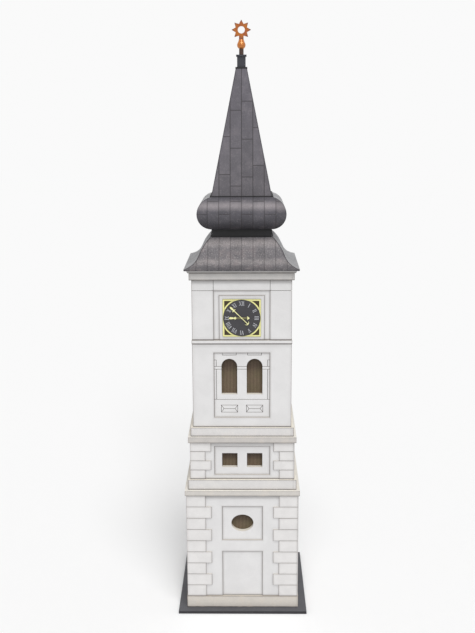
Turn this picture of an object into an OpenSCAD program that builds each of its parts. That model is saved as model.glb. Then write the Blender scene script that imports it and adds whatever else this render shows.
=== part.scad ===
// Laser-cut card model of a baroque bell tower, about 1:87.
// Four storeys of white card walls stand on a dark plate, under an ogee roof,
// a bulged lantern, a square spire and a sun finial. All four sides are alike.
// Millimetres, +Z up, front face towards -Y, origin under the middle of the plate.

/* [Base plate] */
// Thickness of the plate the tower stands on
plate_t = 1.8; // [1.2:0.1:4]
// How far the plate reaches past the plinth
plate_margin = 5; // [2:0.1:15]

/* [Sheets] */
// Thickness of the core board of every wall
board_t = 3; // [2:0.1:4]
// Thickness of the facing card glued on each core
card_t = 0.6; // [0.4:0.05:1]
// Thickness of the quoin card glued on the facings
quoin_t = 0.6; // [0.4:0.05:1]
// Width of an engraved line
line_w = 0.25; // [0.15:0.05:0.4]
// Depth of an engraved line
line_d = 0.15; // [0.05:0.05:0.3]
// Gap left between the ends of two glued strips at a corner
strip_gap = 0.1; // [0.05:0.05:0.2]
// Thickness of the louvre sheets
louvre_t = 0.5; // [0.3:0.1:1]
// How far a louvre sheet reaches past its openings, where it is glued
louvre_lap = 2.2; // [1.5:0.1:3]
// Thickness of the roof card
roof_t = 0.8; // [0.5:0.1:1.2]

/* [Quoins] */
// Distance from the axis to the inner end of a short quoin
quoin_short_x = 22.15; // [20:0.05:23]
// Distance from the axis to the inner end of a long quoin
quoin_long_x = 18.65; // [17:0.05:19.5]

/* [Plinth] */
// Height of the plinth strips
plinth_h = 7.3; // [5:0.1:11]
// Thickness of the plinth strips
plinth_t = 0.9; // [0.6:0.1:1.4]

/* [Ground storey] */
// Width over the facings
ground_w = 66.5; // [54:0.1:90]
// Number of quoin courses
ground_courses = 9; // [5:2:11]
// Height of the blind door panel above the plinth
door_h = 29.5; // [22:0.1:36]
// Height of the wall between the two panels
panel_gap = 7.5; // [5:0.1:10]
// Width of the oval opening
oval_w = 13.4; // [9:0.1:18]
// Height of the oval opening
oval_h = 10.9; // [7:0.1:16]
// Margin between the oval and the edge of its panel
oval_margin = 5.45; // [4:0.05:7]
// Height of the wall above the upper panel
ground_head = 7.3; // [5:0.1:10]

/* [Lower cornice] */
// Overhang of the slab past the facings below it
lower_overhang = 1.35; // [1:0.05:4]
// Thickness of the slab
lower_slab_t = 3.25; // [2:0.05:5]
// Thickness of the strips that stand on the slab
lower_course_t = 1.85; // [1:0.05:3]
// Height of those strips
lower_course_h = 6.25; // [4:0.05:9]

/* [Window storey] */
// Setback of the facings from the storey below
window_setback = 2.6; // [2:0.05:4]
// Number of quoin courses
window_courses = 4; // [2:2:6]
// Width of each small window
window_hole_w = 9.25; // [6:0.05:11]
// Height of each small window
window_hole_h = 8.95; // [6:0.05:12]
// Distance between the centres of paired openings, here and in the belfry
pair_pitch = 14.9; // [13:0.1:18]
// Margin between the windows and the edge of their panel
window_margin = 4.5; // [3:0.05:6]
// Height of the wall below and above the panel
window_rail = 2.7; // [1.5:0.1:5]

/* [Upper cornice] */
// Overhang of the slab past the facings below it
upper_overhang = 1.7; // [1:0.05:4]
// Thickness of the slab
upper_slab_t = 3.55; // [2:0.05:5]
// Thickness of the strips that stand on the slab
upper_course_t = 1.45; // [1:0.05:3]
// Height of those strips
upper_course_h = 5.45; // [4:0.05:8]

/* [Belfry] */
// Setback of the facings from the storey below
belfry_setback = 1.45; // [1.4:0.05:4]
// Width of each sound opening
arch_w = 9.3; // [7:0.1:11.5]
// Height of each sound opening, to the top of its arch
arch_h = 21.8; // [17:0.1:27]
// Margin between the openings and the sides of the panel
arch_margin = 4.4; // [3.5:0.05:6]
// Height of the panel above the openings
arch_head = 3.75; // [3:0.05:6]
// Height of the openings above the sill line
arch_foot = 3.1; // [2:0.1:4]
// Height of the sill line above the foot of the panel
sill_line_z = 11; // [9:0.1:13]
// Height of the wall below the panel
belfry_rail = 6; // [4:0.1:8]
// Height of the wall above the panel
belfry_head = 5.35; // [4:0.05:8]
// Height of the impost band drawn at the springing
impost_h = 1.7; // [1:0.1:2.5]
// Width of the strips drawn down both edges of the panel
edge_strip_w = 1.4; // [1:0.1:1.8]
// Width of the label block over each opening
label_w = 8.2; // [6:0.1:10]
// Height of the label block
label_h = 1.5; // [0.8:0.1:2]
// Width of the pointed blocks under the openings
block_w = 9.7; // [8:0.1:11]
// Height of the pointed blocks
block_h = 4.4; // [3:0.1:5]
// Height of the pointed blocks above the foot of the panel
block_z = 3.05; // [2:0.05:4]

/* [String course] */
// Overhang of the board past the belfry
string_overhang = 0.2; // [0:0.05:1.5]
// Thickness of that board
string_t = 2.3; // [1.5:0.1:3.5]

/* [Clock storey] */
// Setback of the facings from the belfry
clock_setback = 0.1; // [0:0.05:2]
// Margin between the clock and the edge of its raised surround
surround_margin = 2.05; // [1.5:0.05:3]
// Thickness of the surround
surround_t = 0.3; // [0.2:0.05:0.5]
// Margin between the surround and the corner piers
recess_margin = 3.25; // [2:0.05:5]
// Height of the recess above the surround
recess_head = 2.95; // [2:0.05:5]
// Visible height of the frieze over the recess
frieze_h = 6.3; // [4:0.05:9]

/* [Clock] */
// Width of the square clock frame
frame_w = 22.3; // [18:0.1:27]
// Width of the frame's border
frame_border = 1.05; // [0.8:0.05:1.6]
// Height of the frame above the string course
frame_foot = 2.15; // [1:0.05:4]
// Width of the ring that shows round the dial
ring_w = 0.8; // [0.5:0.05:1.2]
// Gap between the dial's rim and the outside of the frame
dial_gap = 0.3; // [0.2:0.05:0.6]
// Thickness of one clock card
clock_card_t = 0.3; // [0.2:0.05:0.5]
// Gap between the minute hand's tip and the dial's rim
minute_gap = 1.05; // [0.5:0.05:3]
// Gap between the hour hand's tip and the dial's rim
hour_gap = 3.1; // [2:0.05:5]
// Reach of the minute hand's counterweight
minute_tail = 5.3; // [3:0.1:6]
// Reach of the hour hand's counterweight
hour_tail = 4.6; // [3:0.1:5]
// Minutes that the minute hand shows
minutes = 52.4; // [0:0.1:59.9]
// Hour that the hour hand shows
hour = 9; // [0:0.1:12]

/* [Eaves] */
// Thickness of the fascia strips under the roof
fascia_t = 1.4; // [1:0.1:2.5]
// Height of the fascia strips
fascia_h = 4.3; // [3:0.1:6]
// Overhang of the roof board's bottom edge past the fascia
board_overhang = 0.7; // [0:0.1:2]
// How far the roof board's edge leans out towards its top
board_lean = 0.7; // [0:0.1:1.5]
// Thickness of the roof board
roof_board_t = 1.45; // [1:0.05:2.5]

/* [Ogee roof] */
// Overhang of the roof past the roof board
eave_overhang = 1.4; // [0.5:0.1:4]
// Height of the ogee
ogee_h = 16.7; // [14:0.1:21]
// Slope of the roof at the eaves, in degrees
eave_slope = 17; // [5:1:25]
// Slope of the roof at its top, in degrees
ogee_top_slope = 45; // [30:1:60]
// Length over which the curve holds its slope at the eaves
eave_hold = 10.9; // [7:0.1:12]
// Length over which the curve holds its slope at the top
ogee_top_hold = 12.4; // [8:0.1:13]
// How far the top of the ogee reaches past the waist
ogee_lap = 1; // [0:0.1:2]

/* [Bulged lantern] */
// Width of the dark waist under the bulge
waist_w = 35.2; // [29:0.1:43]
// Height of the waist
waist_h = 4.7; // [3:0.1:6]
// How far the bulge's edges reach past the waist
bulge_lap = 0.8; // [0:0.1:1]
// How far the bulge swells out past its edges
bulge_out = 7.35; // [5:0.05:9]
// Height of the bulge
bulge_h = 18.6; // [18.5:0.1:24]
// Width of the flat rims that the bulge is glued by
bulge_rim = 1.2; // [1.1:0.1:2]

/* [Spire] */
// Thickness of the ledge the spire stands on
ledge_t = 0.6; // [0.4:0.1:1.2]
// Setback of the spire from the edge of its ledge
spire_setback = 0.9; // [0.4:0.1:2]
// Width of the spire at its top
spire_top_w = 6.6; // [6:0.1:8]
// Height of the spire
spire_h = 71.9; // [59:0.1:86]
// Overhang of the cap plate
cap_overhang = 0.15; // [0:0.05:0.5]
// Thickness of the cap plate
cap_t = 0.9; // [0.6:0.1:1.4]
// Width of the square neck
neck_w = 4.9; // [3.6:0.1:5.5]
// Height of the neck, with its flange
neck_h = 6.9; // [5:0.1:9]
// Overhang of the neck's flange
flange_overhang = 0.55; // [0.2:0.05:1]
// Thickness of the neck's flange
flange_t = 0.9; // [0.5:0.1:1.4]

/* [Finial] */
// Diameter of the rod
rod_d = 2.6; // [1.5:0.1:3]
// Visible height of the rod
rod_h = 3.4; // [2.5:0.1:5]
// Diameter of the ball
ball_d = 4.9; // [4:0.1:6]
// Height of the ball with its drawn-out top
ball_h = 5.2; // [4.9:0.1:6.2]
// Radius to the tips of the sun's rays
sun_tip_r = 5.6; // [4.5:0.1:7]
// Radius of the sun between its rays
sun_valley_r = 3.5; // [2.8:0.1:4]
// Radius of the hole in the sun
sun_hole_r = 2.05; // [1.5:0.05:2.4]
// Thickness of the sun
sun_t = 1; // [0.6:0.1:1.6]
// Width of the sun's stem
stem_w = 2.6; // [1.6:0.1:3]
// Height of the sun's centre above the ball
sun_z = 5.3; // [5.2:0.1:7]

/* [Hidden] */
eps = 0.01;
cut = 1;

SIDES = ["front", "right", "back", "left"];

white = [0.86, 0.86, 0.85];
cream = [0.82, 0.8, 0.75];
beige = [0.72, 0.7, 0.63];
slate = [0.27, 0.28, 0.3];
lead_grey = [0.4, 0.39, 0.41];
dark_lead = [0.17, 0.17, 0.18];
brown = [0.36, 0.31, 0.25];
dial_black = [0.22, 0.22, 0.24];
pale_yellow = [0.87, 0.86, 0.55];
copper = [0.78, 0.45, 0.2];

// Panels, each sized by what it holds
oval_panel_w = oval_w + 2 * oval_margin;
oval_panel_h = oval_h + 2 * oval_margin;
window_panel_w = pair_pitch + window_hole_w + 2 * window_margin;
window_panel_h = window_hole_h + 2 * window_margin;
belfry_panel_w = pair_pitch + arch_w + 2 * arch_margin;
belfry_panel_h = sill_line_z + arch_foot + arch_h + arch_head;
surround_w = frame_w + 2 * surround_margin;
surround_h = frame_foot + frame_w + surround_margin;
clock_recess_w = surround_w + 2 * recess_margin;
clock_recess_h = surround_h + recess_head;

// Storey heights
ground_h = plinth_h + door_h + panel_gap + oval_panel_h + ground_head;
window_h = lower_course_h + window_panel_h + 2 * window_rail;
belfry_h = upper_course_h + belfry_rail + belfry_panel_h + belfry_head;
clock_h = clock_recess_h + frieze_h + fascia_h;

// Levels, from the bottom up
z_plate = plate_t;
z_door = z_plate + plinth_h;
z_oval_panel = z_door + door_h + panel_gap;
z_lower_slab = z_plate + ground_h;
z_window = z_lower_slab + lower_slab_t;
z_window_panel = z_window + lower_course_h + window_rail;
z_upper_slab = z_window + window_h;
z_belfry = z_upper_slab + upper_slab_t;
z_belfry_panel = z_belfry + upper_course_h + belfry_rail;
z_sill = z_belfry_panel + sill_line_z;
z_arch = z_sill + arch_foot;
z_springing = z_arch + arch_h - arch_w / 2;
z_string = z_belfry + belfry_h;
z_clock = z_string + string_t;
z_dial = z_clock + frame_foot + frame_w / 2;
z_roof_board = z_clock + clock_h;
z_eave = z_roof_board + roof_board_t + roof_t;
z_waist = z_eave + ogee_h;
z_bulge = z_waist + waist_h;
z_ledge = z_bulge + bulge_h;
z_spire = z_ledge + ledge_t;
z_cap = z_spire + spire_h;
z_neck = z_cap + cap_t;
z_rod = z_neck + neck_h;
z_ball = z_rod + rod_h;
z_sun = z_ball + ball_h + sun_z;

// Half widths, from the axis to each face
ground_half = ground_w / 2;
plate_half = ground_half + plinth_t + plate_margin;
lower_slab_half = ground_half + lower_overhang;
window_half = ground_half - window_setback;
upper_slab_half = window_half + upper_overhang;
belfry_half = window_half - belfry_setback;
string_half = belfry_half + string_overhang;
clock_half = belfry_half - clock_setback;
fascia_half = clock_half + fascia_t;
roof_board_half = fascia_half + board_overhang + board_lean;
eave_half = roof_board_half + eave_overhang;
waist_half = waist_w / 2;
ogee_top_half = waist_half + ogee_lap;
bulge_edge_half = waist_half + bulge_lap;
spire_half = bulge_edge_half - spire_setback;
spire_top_half = spire_top_w / 2;

// Turns its children from the front to side number i
module on_side(i) {
    rotate([0, 0, 90 * i]) children();
}

module on_all_sides() {
    for (i = [0:3]) on_side(i) children();
}

// A flat outline drawn as seen from the front, t thick, its back at distance y from the axis
module plate_on_front(y, t) {
    translate([0, -y, 0]) rotate([90, 0, 0]) linear_extrude(t) children();
}

// A sheet that stands on the front at half width h and stops where its neighbour's edge shows
module sheet(h, t, z, height, gap = 0) {
    translate([-h, -h, z]) cube([2 * h - t - gap, t, height]);
}

// A square slab centred on the axis, reaching out to half width h
module slab(h, t, z) {
    translate([-h, -h, z]) cube([2 * h, 2 * h, t]);
}

// Four strips glued round a storey, from its face at half width h outwards to half width h + t
module strips(h, t, z, height) {
    on_all_sides() sheet(h + t, t, z, height, strip_gap);
}

// An engraved line on the front, from p to q, on the face at half width h
module groove(h, p, q) {
    run = q - p;
    translate([p.x, -h, p.y]) rotate([0, -atan2(run.y, run.x), 0])
        translate([-line_w / 2, -cut, -line_w / 2]) cube([norm(run) + line_w, cut + line_d, line_w]);
}

// Engraved lines from each point to the next
module grooves(h, points) {
    for (i = [0:len(points) - 2]) groove(h, points[i], points[i + 1]);
}

// A core board with a facing card on it, reaching out to half width h
module laminated_wall(h, z, height) {
    sheet(h, card_t, z, height);
    sheet(h - card_t, board_t, z, height);
}

// Cuts through a whole wall whose face is at half width h
module through(h) {
    plate_on_front(h - card_t - board_t - cut, card_t + board_t + 2 * cut) children();
}

// Cuts through the facing card only
module through_facing(h) {
    plate_on_front(h - card_t, card_t + cut) children();
}

// Points of an oval, w wide and h high
function oval(w, h, n = 48) = [for (i = [0:n - 1]) [w / 2 * cos(360 * i / n), h / 2 * sin(360 * i / n)]];

// A rectangle centred on x = 0 that stands on the line y = z
module panel(w, h, z) {
    translate([-w / 2, z]) square([w, h]);
}

// Two like outlines side by side, a pitch apart
module pair() {
    for (s = [-1, 1]) translate([s * pair_pitch / 2, 0]) children();
}

module base_plate() {
    color(slate) slab(plate_half, plate_t, 0);
}

module plinth() {
    color(beige) strips(ground_half, plinth_t, z_plate, plinth_h);
}

module ground_wall(i) {
    color(white) on_side(i) difference() {
        laminated_wall(ground_half, z_plate, ground_h);
        through_facing(ground_half) {
            panel(oval_panel_w, door_h, z_door);
            panel(oval_panel_w, oval_panel_h, z_oval_panel);
        }
        through(ground_half) translate([0, z_oval_panel + oval_panel_h / 2]) polygon(oval(oval_w, oval_h));
    }
}

// Two flat cards on the front, left and right, that end at distance end from the axis
module corner_cards(face, end, z, height) {
    translate([-face, -face, z]) cube([face - end, quoin_t, height]);
    translate([end, -face, z]) cube([face - quoin_t - strip_gap - end, quoin_t, height]);
}

// Cards cut as short and long corner stones in turn, with an engraved line at each joint
module quoins(h, z, height, courses) {
    face = h + quoin_t;
    rise = height / courses;
    color(white) on_all_sides() difference() {
        union() {
            corner_cards(face, quoin_short_x, z, height);
            for (c = [1:2:courses - 1]) corner_cards(face, quoin_long_x, z + c * rise, rise);
        }
        for (c = [1:courses - 1])
            groove(face, [-face - cut, z + c * rise], [face + cut, z + c * rise]);
    }
}

module ground_quoins() {
    quoins(ground_half, z_door, ground_h - plinth_h, ground_courses);
}

module lower_cornice() {
    color(cream) slab(lower_slab_half, lower_slab_t, z_lower_slab);
}

module lower_course() {
    color(cream) strips(window_half, lower_course_t, z_window, lower_course_h);
}

module window_wall(i) {
    color(white) on_side(i) difference() {
        laminated_wall(window_half, z_window, window_h);
        through_facing(window_half) panel(window_panel_w, window_panel_h, z_window_panel);
        through(window_half) pair() panel(window_hole_w, window_hole_h, z_window_panel + window_margin);
    }
}

module window_quoins() {
    quoins(window_half, z_window + lower_course_h, window_h - lower_course_h, window_courses);
}

module upper_cornice() {
    color(cream) slab(upper_slab_half, upper_slab_t, z_upper_slab);
}

module upper_course() {
    color(cream) strips(belfry_half, upper_course_t, z_belfry, upper_course_h);
}

// A round-headed opening
module arch_outline() {
    panel(arch_w, arch_h - arch_w / 2, z_arch);
    translate([0, z_springing]) circle(d = arch_w, $fn = 48);
}

// A hipped block centred on x, drawn in lines: its outline, its ridge and its four hips
module block_grooves(h, x) {
    left = x - block_w / 2;
    right = x + block_w / 2;
    bottom = z_belfry_panel + block_z;
    top = bottom + block_h;
    middle = (bottom + top) / 2;
    hip = block_h * 0.35;
    grooves(h, [[left, bottom], [right, bottom], [right, top], [left, top], [left, bottom]]);
    groove(h, [left + hip, middle], [right - hip, middle]);
    for (z = [bottom, top]) {
        groove(h, [left, z], [left + hip, middle]);
        groove(h, [right, z], [right - hip, middle]);
    }
}

// A shallow label that hangs from the top of the panel, centred on x
module label_grooves(h, x) {
    top = z_belfry_panel + belfry_panel_h;
    foot = top - label_h;
    grooves(h, [[x - label_w / 2, top], [x - label_w / 2, foot], [x + label_w / 2, foot], [x + label_w / 2, top]]);
}

// The lines engraved inside the belfry's panel
module belfry_grooves(h) {
    half = belfry_panel_w / 2;
    impost = z_springing - impost_h;
    shoulder = z_springing + 2.3 * impost_h;
    for (z = [z_sill, impost, z_springing]) groove(h, [-half, z], [half, z]);
    for (s = [-1, 1]) {
        edge = s * (half - edge_strip_w);
        groove(h, [edge, z_sill], [edge, impost]);
        grooves(h, [[edge, z_springing], [edge, shoulder], [s * half, shoulder]]);
        block_grooves(h, s * pair_pitch / 2);
        label_grooves(h, s * pair_pitch / 2);
    }
}

module belfry_wall(i) {
    color(white) on_side(i) difference() {
        laminated_wall(belfry_half, z_belfry, belfry_h);
        through_facing(belfry_half) panel(belfry_panel_w, belfry_panel_h, z_belfry_panel);
        belfry_grooves(belfry_half - card_t);
        through(belfry_half) pair() arch_outline();
    }
}

module string_course() {
    color(white) slab(string_half, string_t, z_string);
}

// The clock's raised surround, standing on the string course, with rounded shoulders
module surround_outline() {
    r = 0.8;
    panel(surround_w, surround_h - r, z_clock);
    panel(surround_w - 2 * r, surround_h, z_clock);
    for (s = [-1, 1]) translate([s * (surround_w / 2 - r), z_clock + surround_h - r]) circle(r = r, $fn = 24);
}

module clock_wall(i) {
    recess_top = z_clock + clock_recess_h;
    pier = clock_recess_w / 2;
    color(white) on_side(i) {
        difference() {
            laminated_wall(clock_half, z_clock, clock_h);
            through_facing(clock_half) panel(clock_recess_w, clock_recess_h + cut, z_clock - cut);
            for (s = [-1, 1])
                grooves(clock_half, [[s * clock_half, recess_top], [s * pier, recess_top],
                                     [s * pier, recess_top + frieze_h]]);
        }
        plate_on_front(clock_half - card_t - eps, surround_t + eps) surround_outline();
    }
}

// Distance of the surround's face from the axis, which the clock is glued to
clock_face = clock_half - card_t + surround_t;
dial_r = frame_w / 2 - dial_gap;

// Puts a flat clock card on each side, with its back at the given height above the surround
module clock_card(lift, t) {
    on_all_sides() plate_on_front(clock_face + lift, t) translate([0, z_dial]) children();
}

// A dark square card that carries the round dial
module clock_dials() {
    color(dial_black) {
        clock_card(0, clock_card_t) square(frame_w, center = true);
        clock_card(clock_card_t - eps, 1.5 * clock_card_t + eps) circle(r = dial_r, $fn = 96);
    }
}

// A square border with a ring inside it, cut out round the dial
module clock_frames() {
    fit = 0.02;
    color(pale_yellow) clock_card(clock_card_t, clock_card_t) difference() {
        square(frame_w, center = true);
        difference() {
            square(frame_w - 2 * frame_border, center = true);
            circle(r = dial_r + ring_w, $fn = 96);
        }
        circle(r = dial_r + fit, $fn = 96);
    }
}

// A pointed leaf of the given length and width, with its tip at y = reach
module leaf(reach, length, w) {
    polygon([[0, reach], [w / 2, reach - 0.9 * w], [w / 3, reach - length],
             [-w / 3, reach - length], [-w / 2, reach - 0.9 * w]]);
}

// Points up: a leaf, a pointed lozenge, a slotted bar round the hub and an arrowhead on the tail
module hour_hand(reach, tail) {
    length = 3;
    lozenge = 0.9;
    bar = 0.8;
    slot = 0.4;
    arrow = 1.2;
    foot = reach - length;
    leaf(reach, length, 1.3);
    polygon([[0, foot + 0.1], [lozenge, foot - lozenge], [0, foot - 2 * lozenge], [-lozenge, foot - lozenge]]);
    for (s = [-1, 1]) translate([s * (bar + slot) / 4 - (bar - slot) / 4, arrow - tail])
        square([(bar - slot) / 2, foot - 1.5 * lozenge + tail - arrow]);
    circle(d = bar, $fn = 24);
    polygon([[0, -tail], [arrow, 1.2 * arrow - tail], [0, arrow - tail + 0.1], [-arrow, 1.2 * arrow - tail]]);
}

// Points up: a leaf over a crossbar, a thin bar with the hub, and a crescent on the tail
module minute_hand(reach, tail) {
    length = 3.2;
    bar = 0.45;
    moon = 1.4;
    hollow = 1.07 * moon;
    leaf(reach, length, 1.2);
    panel(2.2, bar, reach - length - bar);
    panel(bar, reach - length + tail - bar / 2, bar / 2 - tail);
    circle(r = bar, $fn = 24);
    difference() {
        translate([0, moon - tail]) circle(r = moon, $fn = 32);
        translate([0, hollow + bar - tail]) circle(r = hollow, $fn = 32);
    }
}

module hour_hands() {
    color(pale_yellow) clock_card(2.5 * clock_card_t, clock_card_t)
        rotate(-30 * hour) hour_hand(dial_r - hour_gap, hour_tail);
}

module minute_hands() {
    color(pale_yellow) clock_card(3.5 * clock_card_t, clock_card_t)
        rotate(-6 * minutes) minute_hand(dial_r - minute_gap, minute_tail);
}

// A sheet glued behind an opening that is w wide and h high, in a wall with its face at half width half
module louvre_sheet(half, w, h, z) {
    on_all_sides() plate_on_front(half - card_t - board_t - louvre_t, louvre_t)
        panel(w + 2 * louvre_lap, h + 2 * louvre_lap, z - louvre_lap);
}

module louvre_sheets() {
    color(brown) {
        louvre_sheet(ground_half, oval_w, oval_h, z_oval_panel + oval_margin);
        louvre_sheet(window_half, pair_pitch + window_hole_w, window_hole_h, z_window_panel + window_margin);
        louvre_sheet(belfry_half, pair_pitch + arch_w, arch_h, z_arch);
    }
}

module eaves_fascia() {
    color(cream) strips(clock_half, fascia_t, z_roof_board - fascia_h, fascia_h);
}

// A square board whose edge leans out towards its top
module roof_board() {
    high = roof_board_half;
    low = roof_board_half - board_lean;
    color(cream) intersection_for (a = [0, 90]) rotate([0, 0, a])
        translate([-high - cut, 0, z_roof_board]) rotate([90, 0, 90]) linear_extrude(2 * (high + cut))
            polygon([[-low, 0], [low, 0], [high, roof_board_t], [-high, roof_board_t]]);
}

// One side of a square roof: a section drawn as [distance from the axis, height], mitred at both hips
module roof_side(z, section) {
    reach = eave_half + bulge_out;
    top = bulge_h + spire_h;
    intersection() {
        translate([-reach, 0, z]) rotate([90, 0, 90]) linear_extrude(2 * reach)
            polygon([for (p = section) [-p.x, p.y]]);
        translate([0, 0, z - cut]) linear_extrude(top) polygon([[0, 0], [-reach, -reach], [reach, -reach]]);
    }
}

module front_and_back() {
    for (i = [0, 2]) on_side(i) children();
}

module left_and_right() {
    for (i = [1, 3]) on_side(i) children();
}

function reversed(list) = [for (i = [len(list) - 1:-1:0]) list[i]];

// Point at t, from 0 to 1, on the cubic curve with control points a, b, c and d
function curve(a, b, c, d, t) =
    pow(1 - t, 3) * a + 3 * t * pow(1 - t, 2) * b + 3 * t * t * (1 - t) * c + pow(t, 3) * d;

// The ogee's outer line, from eave to top, moved in by inset and down by drop
function ogee_line(inset, drop, n = 24) =
    let (foot = [eave_half - inset, -drop], top = [ogee_top_half - inset, ogee_h - drop],
         after_foot = foot + eave_hold * [-cos(eave_slope), sin(eave_slope)],
         before_top = top + ogee_top_hold * [cos(ogee_top_slope), -sin(ogee_top_slope)])
    [for (i = [0:n]) curve(foot, after_foot, before_top, top, i / n)];

// The card's section, with a flat rim at the top and an undercut edge at the eaves
function ogee_section() =
    let (rim = 3 * roof_t, undercut = 0.2)
    concat([[eave_half - undercut, -roof_t]], ogee_line(0, 0),
           [[ogee_top_half - rim, ogee_h]], reversed(ogee_line(rim, roof_t)));

module ogee_front_back() {
    color(lead_grey) front_and_back() roof_side(z_eave, ogee_section());
}

module ogee_sides() {
    color(lead_grey) left_and_right() roof_side(z_eave, ogee_section());
}

module lantern_waist() {
    color(dark_lead) slab(waist_half, waist_h, z_waist);
}

// Radius of the bulge's side and distance of that arc's centre from the axis
bulge_r = (pow(bulge_h / 2, 2) + pow(bulge_out, 2)) / (2 * bulge_out);
bulge_centre = bulge_edge_half + bulge_out - bulge_r;

// Points on an arc of radius r about the bulge's centre line, from angle -a to a
function bulge_arc(r, a, n = 24) =
    [for (i = [0:n]) let (turn = a * (2 * i / n - 1))
        [bulge_centre + r * cos(turn), bulge_h / 2 + r * sin(turn)]];

// The card's section, with a flat rim at its bottom and top
function bulge_section() =
    let (rim = bulge_edge_half - bulge_rim, inner_r = bulge_r - roof_t,
         outer_a = acos((bulge_edge_half - bulge_centre) / bulge_r),
         inner_a = acos((rim - bulge_centre) / inner_r))
    concat(bulge_arc(bulge_r, outer_a), [[rim, bulge_h]], reversed(bulge_arc(inner_r, inner_a)), [[rim, 0]]);

module bulge_front_back() {
    color(lead_grey) front_and_back() roof_side(z_bulge, bulge_section());
}

module bulge_sides() {
    color(lead_grey) left_and_right() roof_side(z_bulge, bulge_section());
}

module spire_ledge() {
    color(dark_lead) slab(bulge_edge_half, ledge_t, z_ledge);
}

function spire_section() =
    let (t = roof_t / cos(atan2(spire_half - spire_top_half, spire_h)))
    [[spire_half, 0], [spire_top_half, spire_h], [spire_top_half - t, spire_h], [spire_half - t, 0]];

module spire_front_back() {
    color(lead_grey) front_and_back() roof_side(z_spire, spire_section());
}

module spire_sides() {
    color(lead_grey) left_and_right() roof_side(z_spire, spire_section());
}

module spire_cap() {
    color(dark_lead) slab(spire_top_half + cap_overhang, cap_t, z_cap);
}

module spire_neck() {
    color(slate) {
        slab(neck_w / 2, neck_h, z_neck);
        slab(neck_w / 2 + flange_overhang, flange_t, z_rod - flange_t);
    }
}

module finial_rod() {
    color(brown) translate([0, 0, z_rod]) cylinder(d = rod_d, h = rod_h, $fn = 32);
}

// A ball drawn out into a short point, cut flat where the rod and the sun's stem meet it
module finial_ball() {
    r = ball_d / 2;
    low = -acos(rod_d / ball_d);
    high = 38;
    middle = -r * sin(low);
    shoulder = 0.1;
    arc = [for (i = [0:24]) let (a = low + (high - low) * i / 24) [r * cos(a), middle + r * sin(a)]];
    color(copper) translate([0, 0, z_ball]) rotate_extrude($fn = 64)
        polygon(concat([[0, 0]], arc, [[stem_w / 2 + shoulder, ball_h], [0, ball_h]]));
}

// Rays round a ring, with the stem in place of the lowest ray
module sun_outline() {
    rays = 8;
    step = 180 / rays;
    rim = [for (i = [1 - rays:rays - 1])
        (i % 2 == 0 ? sun_tip_r : sun_valley_r) * [sin(step * i), cos(step * i)]];
    difference() {
        polygon(concat(rim, [[stem_w / 2, -sun_z], [-stem_w / 2, -sun_z]]));
        circle(r = sun_hole_r, $fn = 48);
    }
}

module sun() {
    color(copper) plate_on_front(-sun_t / 2, sun_t) translate([0, z_sun]) sun_outline();
}

base_plate();
plinth();
for (i = [0:3]) ground_wall(i);
ground_quoins();
lower_cornice();
lower_course();
for (i = [0:3]) window_wall(i);
window_quoins();
upper_cornice();
upper_course();
for (i = [0:3]) belfry_wall(i);
string_course();
for (i = [0:3]) clock_wall(i);
clock_dials();
clock_frames();
hour_hands();
minute_hands();
louvre_sheets();
eaves_fascia();
roof_board();
ogee_front_back();
ogee_sides();
lantern_waist();
bulge_front_back();
bulge_sides();
spire_ledge();
spire_front_back();
spire_sides();
spire_cap();
spire_neck();
finial_rod();
finial_ball();
sun();
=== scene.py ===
# %% [markdown]
# # A card bell tower
# This notebook dresses a laser-cut card model of a bell tower, about 35 cm high.
# The construction comes in as a fixed frame of named parts, each in its true place and size.
# Nothing here moves or reshapes a part. The cells below light it, set up a camera, add the printed
# numerals, and give every surface the finish that cut, engraved and glued card has.

# %% Load the frame
import math

import bmesh
import bpy
from mathutils import Matrix, Vector


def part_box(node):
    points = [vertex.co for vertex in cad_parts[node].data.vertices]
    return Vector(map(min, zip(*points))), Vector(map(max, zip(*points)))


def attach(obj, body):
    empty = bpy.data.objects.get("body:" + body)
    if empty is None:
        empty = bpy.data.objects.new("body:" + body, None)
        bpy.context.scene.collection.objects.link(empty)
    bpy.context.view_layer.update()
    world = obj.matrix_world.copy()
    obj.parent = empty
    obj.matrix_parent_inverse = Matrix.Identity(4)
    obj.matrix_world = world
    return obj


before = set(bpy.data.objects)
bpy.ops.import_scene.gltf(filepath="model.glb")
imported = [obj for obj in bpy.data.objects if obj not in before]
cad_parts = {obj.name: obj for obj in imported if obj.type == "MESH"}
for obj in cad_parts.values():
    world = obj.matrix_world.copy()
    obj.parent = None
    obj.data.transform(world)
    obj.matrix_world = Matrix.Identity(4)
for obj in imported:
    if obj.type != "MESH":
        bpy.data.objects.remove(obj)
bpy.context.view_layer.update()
MM = 0.001
scene = bpy.context.scene

# %% [markdown]
# ## Levels
# Every pattern below is placed by the parts themselves. A part's box gives its lowest and highest
# corners, so these two helpers turn it into the heights and the distances from the axis that a
# model maker would measure, in millimetres.


# %% Measure the parts
def foot(name):
    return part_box(name)[0][2] / MM


def head(name):
    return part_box(name)[1][2] / MM


def reach(name):
    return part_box(name)[1][0] / MM


MEASURED = (
    "ground_quoins", "window_quoins", "belfry_wall_front", "clock_dials", "ogee_front_back",
)
for name in MEASURED:
    low, high, side = (round(measure(name), 2) for measure in (foot, head, reach))
    print(name, "from", low, "to", high, "reach", side)

# %% [markdown]
# ## The camera
# The camera stands about half a metre off, near the top of the walls, and tilts down by 12 degrees.
# Its ordinary lens keeps the upright edges almost parallel, and the tilt shows the tops of both
# cornices. The film is 36 mm on its long side.

# %% Camera
PITCH = math.radians(-12.256)
YAW = math.radians(-0.8)
ROLL = math.radians(-0.252)
STAND = (0.00476, -0.54815, 0.29728)

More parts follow.
